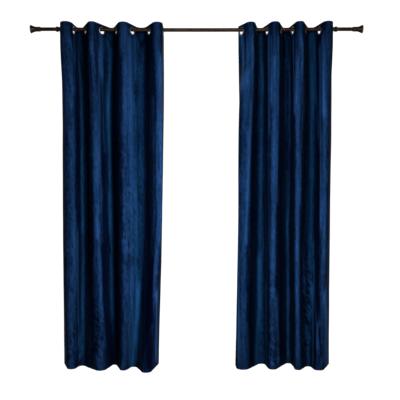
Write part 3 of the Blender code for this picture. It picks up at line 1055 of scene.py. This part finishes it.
def velvet_pile(tree):
    """Cut pile, with light and shade painted by facing, marks and fold depth; long patches,
    streaks, tufts.
    """
    flat = tree.node("UVMap", {"uv_map": "cut"})
    painted_light_and_crush = tree.node("UVMap", {"uv_map": "painted_light_and_crush"})
    light_marks_and_crush = painted_light_and_crush.along(0)
    facing = painted_light_and_crush.along(1)
    depth_in_fold = tree.node("TexCoord", output=3).along(1)
    patches = flat.stretched(1.0, 0.22, 1.0).grain(PATCH_GRAIN, 4, 0.55)
    streaks = flat.stretched(1.0, 0.10, 1.0).grain(STREAK_GRAIN, 3, 0.6)
    mottle = flat.stretched(1.0, 0.5, 1.0).grain(MOTTLE_GRAIN, 3, 0.6)
    tufts = flat.grain(TUFT_GRAIN, 2, 0.7)
    # Painted shade: the pile is darker where the cloth turns away from the room, as on the flanks.
    painted_facing_shade = 0.06 + 0.24 * facing + 0.22 * facing * facing
    # Painted highlights and painted shade from the marks, with the crushed patches' own tone.
    painted_marks_and_crush = (light_marks_and_crush - 0.5) * (TONE_STRENGTH * TONE_LIMIT)
    brushed = (patches - 0.5) * 0.5 + (streaks - 0.5) * 0.8 + (mottle - 0.5) * 0.7
    light_and_mottle = painted_facing_shade + painted_marks_and_crush + brushed
    # Painted shade in the folds: the lit colour turns teal deeper in them, towards the wall.
    lit = depth_in_fold.held(TEAL_FROM, TEAL_TO).between(NAVY_LIT, TEAL_LIT)
    # Painted light and shade: shaded and lit copies of the navy, mixed with the random tone.
    colour = light_and_mottle.held(0.0, FULL_LIGHT_AND_MOTTLE).between(NAVY_DEEP, lit)
    thread = stitches(flat)
    relief = (tufts * 0.5 + streaks * 0.5 - thread * 0.8).relief(0.25, PILE_HEIGHT)
    return tree.node(
        "BsdfPrincipled",
        inputs={
            "Base Color": (thread * 0.6).between(colour, NAVY_DEEP),
            "Metallic": 0.3,
            "Roughness": 0.72 + 0.12 * tufts,
            "Specular IOR Level": 0.02,
            "Sheen Weight": 0.015,
            "Sheen Roughness": 0.5,
            "Sheen Tint": (0.24, 0.47, 1.0, 1.0),
            "Normal": relief,
        },
    )


GROUND_DARK = (0.008, 0.026, 0.070, 1.0)
GROUND_LIGHT = (0.022, 0.065, 0.160, 1.0)
THREAD_GRAIN = 1100
FADING_GRAIN = 9
WEAVE_HEIGHT = 0.4 * MM


def velvet_ground(tree):
    """The back of the velvet: its plain woven ground, duller than the pile."""
    flat = tree.node("UVMap", {"uv_map": "cut"})
    warp = flat.stretched(1.0, 0.02, 1.0).grain(THREAD_GRAIN, 1)
    weft = flat.stretched(0.02, 1.0, 1.0).grain(THREAD_GRAIN, 1)
    weave = warp * 0.5 + weft * 0.5
    shade = (flat.grain(FADING_GRAIN, 3) * 0.5 + weave * 0.5).held(0.3, 0.7)
    return tree.node(
        "BsdfPrincipled",
        inputs={
            "Base Color": shade.between(GROUND_DARK, GROUND_LIGHT),
            "Roughness": 0.92,
            "Specular IOR Level": 0.2,
            "Sheen Weight": 0.1,
            "Normal": weave.relief(0.4, WEAVE_HEIGHT),
        },
    )


velvet = finish("velvet_pile", velvet_pile)
ground = finish("velvet_ground", velvet_ground)


def curtain(side_name, levels, drops, creases, marks, patches, seed):
    """One whole curtain: its cloth, laid out, thickened, punched and hung on the rod."""
    laid_out = cloth_grid(levels, drops, creases, marks, patches, seed)
    cloth = thickened(f"curtain_{side_name}", *laid_out, (velvet, ground))
    punched(cloth, eyelet_places(levels[0]))
    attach(cloth, "root")
    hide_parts(f"panel_{side_name}")


curtain("left", LEFT_TURNS, LEFT_HEM_DROPS, LEFT_CREASES, LEFT_LIGHT_MARKS, LEFT_CRUSHED, 3.1)


# The right curtain
# The second width of the same velvet, made as the first. Its folds crowd towards the middle of
# the rod, and the nap beside its third fold is crushed over its lowest third.
RIGHT_HEM_DROPS = (4, 0, 1, 0, 2, 2, 6, 2, 4)

RIGHT_CREASES = (
    # Puckers that run slantwise out from the eyelets.
    Crease(1.00, 0.06, 1.70, 0.22, 9, -3.5),
    Crease(1.70, 0.07, 1.05, 0.24, 9, 3.0),
    Crease(2.95, 0.09, 3.60, 0.24, 8, -3.5),
    Crease(3.90, 0.06, 4.15, 0.22, 7, -3.0),
    # Soft breaks further down the second fold.
    Crease(2.80, 1.40, 3.15, 1.82, 9, -3.0),
    Crease(3.10, 1.55, 2.85, 1.90, 9, 2.5),
    # Near the hem.
    Crease(2.80, 1.93, 3.56, 2.09, 11, 3.5),
    Crease(3.40, 1.90, 2.95, 2.07, 11, -3.0),
    Crease(6.86, 1.78, 7.04, 2.07, 7, -3.5),
    Crease(5.10, 1.30, 5.45, 1.75, 10, -2.5),
    Crease(5.50, 1.45, 6.10, 1.80, 12, 3.0),
    Crease(5.40, 1.70, 6.05, 2.02, 12, -3.0),
)

RIGHT_LIGHT_MARKS = (
    # The first ridge and its sides.
    LightMark(((0.3, 0.05), (0.72, 0.32)), 26, 1.2),
    LightMark(((0.08, 0.06), (0.16, 0.27), (0.64, 0.56), (0.65, 1.06), (0.71, 1.61),
         (0.74, 2.02)), 10, 0.6),
    LightMark(((1.04, 0.06), (1.24, 0.14)), 7, -0.4),
    LightMark(((0.76, 0.07), (0.97, 0.33)), 14, 0.5),
    LightMark(((1.06, 0.07), (1.23, 0.38), (1.14, 0.75), (1.09, 1.0), (1.05, 1.3)), 12, 0.8),
    LightMark(((1.74, 0.08), (1.67, 0.44), (1.43, 0.68), (1.42, 1.05), (1.33, 1.38), (1.31, 1.77),
         (1.39, 2.05)), 15, -0.5),
    LightMark(((0.77, 0.94), (0.75, 1.68), (0.74, 2.02)), 22, 0.4),
    LightMark(((0.77, 1.0), (0.81, 1.75)), 9, -0.35),
    LightMark(((1.09, 1.12), (1.14, 1.78)), 12, -0.35),
    # The first valley.
    LightMark(((2.08, 0.02), (2.13, 0.17)), 7, -0.3),
    LightMark(((2.1, 0.02), (2.14, 0.36)), 16, 0.65),
    LightMark(((2.07, 0.27), (2.05, 1.05), (2.0, 1.47)), 16, 0.2),
    LightMark(((2.21, 1.15), (2.18, 1.63)), 10, 0.5),
    LightMark(((1.94, 1.47), (1.88, 1.76), (1.79, 2.06)), 20, 0.95),
    LightMark(((2.19, 1.49), (2.22, 2.01)), 7, -0.3),
    LightMark(((2.24, 1.8), (2.21, 2.06)), 14, 0.45),
    LightMark(((1.79, 1.85), (1.73, 2.08)), 14, 0.7),
    # The second ridge.
    LightMark(((2.63, 0.06), (2.67, 0.38), (2.72, 0.63)), 12, 1.3),
    LightMark(((2.8, 0.07), (2.85, 0.45)), 9, 0.8),
    LightMark(((3.1, 0.07), (3.15, 0.29)), 8, 0.5),
    LightMark(((3.16, 0.07), (3.2, 0.32), (3.16, 0.69), (3.14, 1.06)), 9, 0.8),
    LightMark(((2.99, 0.2), (3.03, 0.81), (3.0, 1.24), (2.95, 1.61)), 16, 0.3),
    LightMark(((3.14, 0.26), (3.14, 0.52)), 9, 0.4),
    LightMark(((2.47, 0.34), (2.37, 0.52), (2.43, 0.75), (2.43, 1.05), (2.44, 1.31),
         (2.57, 1.62)), 9, -0.15),
    LightMark(((2.69, 0.69), (2.8, 1.36)), 8, 0.5),
    LightMark(((2.27, 0.78), (2.44, 1.18), (2.55, 1.59)), 14, 0.5),
    LightMark(((2.42, 1.62), (2.52, 2.05)), 14, 1.1),
    LightMark(((3.15, 1.66), (3.22, 1.96)), 10, -0.4),
    LightMark(((3.15, 1.67), (3.26, 2.05)), 14, 1.2),
    # The second valley, with a thin ridge in it.
    LightMark(((4.05, 0.02), (4.18, 0.15)), 7, -0.4),
    LightMark(((4.14, 0.04), (4.16, 0.3)), 12, 0.6),
    LightMark(((3.93, 0.07), (3.59, 0.4), (3.53, 0.68), (3.49, 1.05), (3.49, 1.46),
         (3.56, 2.01)), 14, -0.6),
    LightMark(((4.24, 0.08), (4.16, 0.46)), 8, 0.4),
    LightMark(((4.46, 0.18), (4.51, 1.05), (4.39, 2.03)), 9, -0.45),
    LightMark(((4.03, 0.23), (4.0, 0.84)), 8, -0.4),
    LightMark(((4.14, 0.36), (4.11, 1.05), (4.0, 1.22), (4.08, 1.44), (3.99, 1.79),
         (3.98, 2.05)), 9, 0.3),
    # The third ridge.
    LightMark(((5.1, 0.04), (5.03, 0.2)), 7, -0.35),
    LightMark(((4.54, 0.05), (4.63, 0.26), (4.79, 0.51)), 12, 1.3),
    LightMark(((4.81, 0.07), (4.88, 0.45)), 9, 0.6),
    LightMark(((5.04, 0.07), (5.15, 0.45)), 9, 0.6),
    LightMark(((5.11, 0.11), (5.25, 0.44), (5.13, 0.81), (5.12, 1.06)), 9, 0.8),
    LightMark(((4.92, 0.2), (5.0, 1.05), (4.96, 1.55), (4.97, 2.01)), 12, 0.3),
    LightMark(((5.28, 1.43), (5.28, 2.03)), 7, -0.25),
    # The third valley, with its crushed nap.
    LightMark(((6.13, 0.02), (6.15, 0.36)), 26, 0.8),
    LightMark(((6.05, 0.04), (6.11, 0.36)), 7, -0.35),
    LightMark(((6.37, 0.04), (6.51, 0.29)), 7, -0.4),
    LightMark(((5.72, 0.08), (5.67, 0.36), (5.49, 0.75), (5.49, 1.05), (5.38, 1.31)), 12, -0.5),
    LightMark(((6.38, 0.31), (6.32, 0.68), (6.48, 1.05), (6.68, 1.46), (6.87, 1.73)), 11, -0.35),
    LightMark(((6.31, 0.43), (6.45, 0.65)), 14, 0.9),
    LightMark(((6.02, 0.49), (6.02, 1.05), (5.99, 1.31), (5.92, 1.51)), 13, 0.2),
    LightMark(((5.8, 1.03), (5.8, 1.31)), 12, 0.6),
    LightMark(((5.49, 1.25), (5.53, 1.62)), 12, 0.35),
    LightMark(((6.15, 1.34), (6.33, 1.68)), 9, 0.4),
    LightMark(((5.73, 1.56), (5.97, 1.81), (6.06, 2.05)), 34, 0.3),
    LightMark(((6.19, 1.62), (6.48, 2.04)), 16, 1.4),
    LightMark(((5.94, 1.64), (6.0, 1.85)), 12, -0.4),
    # The last ridge.
    LightMark(((6.74, 0.07), (6.88, 0.51)), 15, 1.2),
    LightMark(((6.54, 0.13), (6.7, 0.63), (6.81, 1.21)), 14, 1.1),
    LightMark(((6.91, 0.57), (6.94, 1.0), (7.0, 1.4)), 13, 0.3),
    LightMark(((6.21, 1.47), (6.46, 1.69), (6.78, 1.84), (6.87, 1.98)), 11, 0.7),
    LightMark(((7.11, 1.67), (7.3, 2.02)), 12, 0.9),
    LightMark(((7.15, 1.67), (7.41, 1.8), (7.65, 2.05)), 20, 1.5),
    LightMark(((6.92, 1.85), (7.03, 2.01)), 7, -0.5),
    LightMark(((6.88, 1.99), (6.97, 2.05)), 9, -0.4),
    # The outer flank, lit with a painted highlight.
    LightMark(((7.62, 0.0), (7.64, 1.0), (7.68, 2.09)), 40, 0.7),
)

RIGHT_CRUSHED = (
    Crushed(5.75, 1.73, 85, 380, 0.75),
    Crushed(3.00, 1.95, 60, 170, 0.45),
    Crushed(1.95, 1.90, 50, 220, 0.30),
    Crushed(2.95, 1.55, 50, 160, 0.25),
)

curtain("right", RIGHT_TURNS, RIGHT_HEM_DROPS, RIGHT_CREASES, RIGHT_LIGHT_MARKS, RIGHT_CRUSHED, 11.7)


# The floor and the light
# A plain pale studio: a wide floor under the curtains, a white surround, and soft light from
# the middle of the room, from behind and from both sides.
FLOOR_BELOW_HEM = 0.30
FLOOR_HALF = 14.0
FLOOR_GREY = (0.80, 0.80, 0.80, 1.0)
FLOOR_PALE = (0.86, 0.86, 0.86, 1.0)
WHITE = (1.0, 1.0, 1.0, 1.0)
SURROUND_STRENGTH = 1.05
FILL_COLOUR = (0.95, 0.97, 1.0, 1.0)
FILL_STRENGTH = 0.03
WARM_LIGHT = (1.0, 0.98, 0.95)
COOL_LIGHT = (0.95, 0.98, 1.0)
SKY_LIGHT = (0.85, 0.95, 1.0)


def pale_floor(tree):
    """Pale cloudy paint, which the camera sees as white as the surround."""
    colour = tree.node("TexCoord", output=3).grain(3, 2).between(FLOOR_GREY, FLOOR_PALE)
    paint = tree.node("BsdfPrincipled", inputs={"Base Color": colour, "Roughness": 0.9})
    lit = tree.node("Emission", inputs={"Color": WHITE, "Strength": SURROUND_STRENGTH})
    seen = tree.node("LightPath", output=0)
    return tree.node("MixShader", inputs={0: seen, 1: paint, 2: lit})


def surround(tree):
    """White where the camera looks past the curtains, and a faint fill elsewhere."""
    backdrop = tree.node("Background", inputs={"Color": WHITE, "Strength": SURROUND_STRENGTH})
    fill = tree.node("Background", inputs={"Color": FILL_COLOUR, "Strength": FILL_STRENGTH})
    seen = tree.node("LightPath", output=0)
    return tree.node("MixShader", inputs={0: seen, 1: fill, 2: backdrop})


floor_mesh = bpy.data.meshes.new("floor")
floor_z = cad_low.z - FLOOR_BELOW_HEM
floor_corners = [
    (-FLOOR_HALF, -FLOOR_HALF, floor_z),
    (FLOOR_HALF, -FLOOR_HALF, floor_z),
    (FLOOR_HALF, FLOOR_HALF, floor_z),
    (-FLOOR_HALF, FLOOR_HALF, floor_z),
]
floor_mesh.from_pydata(floor_corners, [], [(0, 1, 2, 3)])
floor_mesh.materials.append(finish("pale_floor", pale_floor))
floor = placed("floor", floor_mesh)
floor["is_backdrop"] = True


def add_light(name, place, target, size, power, colour, spread=180):
    """A soft box at a place, turned to a target, in metres, watts and degrees of spread."""
    light = bpy.data.lights.new(name, "AREA")
    light.shape = "RECTANGLE"
    light.size = size[0]
    light.size_y = size[1]
    light.energy = power
    light.color = colour
    light.spread = math.radians(spread)
    lamp = placed(name, light)
    lamp.location = place
    lamp.rotation_mode = "QUATERNION"
    lamp.rotation_quaternion = (Vector(place) - Vector(target)).to_track_quat("Z", "Y")
    lamp.visible_camera = False


add_light("front", (0.02, -2.6, -0.9), (0.02, 0.0, -1.05), (3.4, 3.4), 27, WARM_LIGHT)
add_light("key left", (0.56, -1.60, -1.0), (-0.53, 0.0, -1.05), (0.5, 2.2), 11, WARM_LIGHT, 45)
add_light("key right", (0.46, -1.80, -1.0), (0.56, 0.0, -1.05), (0.5, 2.2), 5, WARM_LIGHT, 45)
add_light("fill left", (-0.70, -1.5, -1.0), (0.36, 0.0, -1.05), (0.5, 2.0), 4, SKY_LIGHT, 60)
add_light("back", (0.0, 3.2, 0.2), (0.0, 0.0, -1.0), (3.4, 2.4), 70, COOL_LIGHT)
add_light("side left", (-3.0, 1.1, -0.6), (-0.6, 0.0, -1.0), (1.4, 2.2), 22, COOL_LIGHT)
add_light("side right", (3.0, 1.1, -0.6), (0.6, 0.0, -1.0), (1.4, 2.2), 22, COOL_LIGHT)

world = bpy.data.worlds.new("studio")
bpy.context.scene.world = world
world.use_nodes = True
wire(world.node_tree, "OutputWorld", surround)

bpy.context.scene.view_settings.view_transform = "Standard"
bpy.context.scene.view_settings.gamma = 0.85


# The camera
# It stands level in the middle of the room at half the curtains' height, as the photograph was
# taken.
CAMERA_PLACE = (0.021, -3.30, -1.0585)
CAMERA_LENS = 47.7
CAMERA_SENSOR = 36.0

camera_data = bpy.data.cameras.new("camera")
camera_data.lens = CAMERA_LENS
camera_data.sensor_width = CAMERA_SENSOR
camera = placed("camera", camera_data)
camera.location = CAMERA_PLACE
camera.rotation_euler = (math.pi / 2, 0.0, 0.0)
bpy.context.scene.camera = camera


low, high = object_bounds()
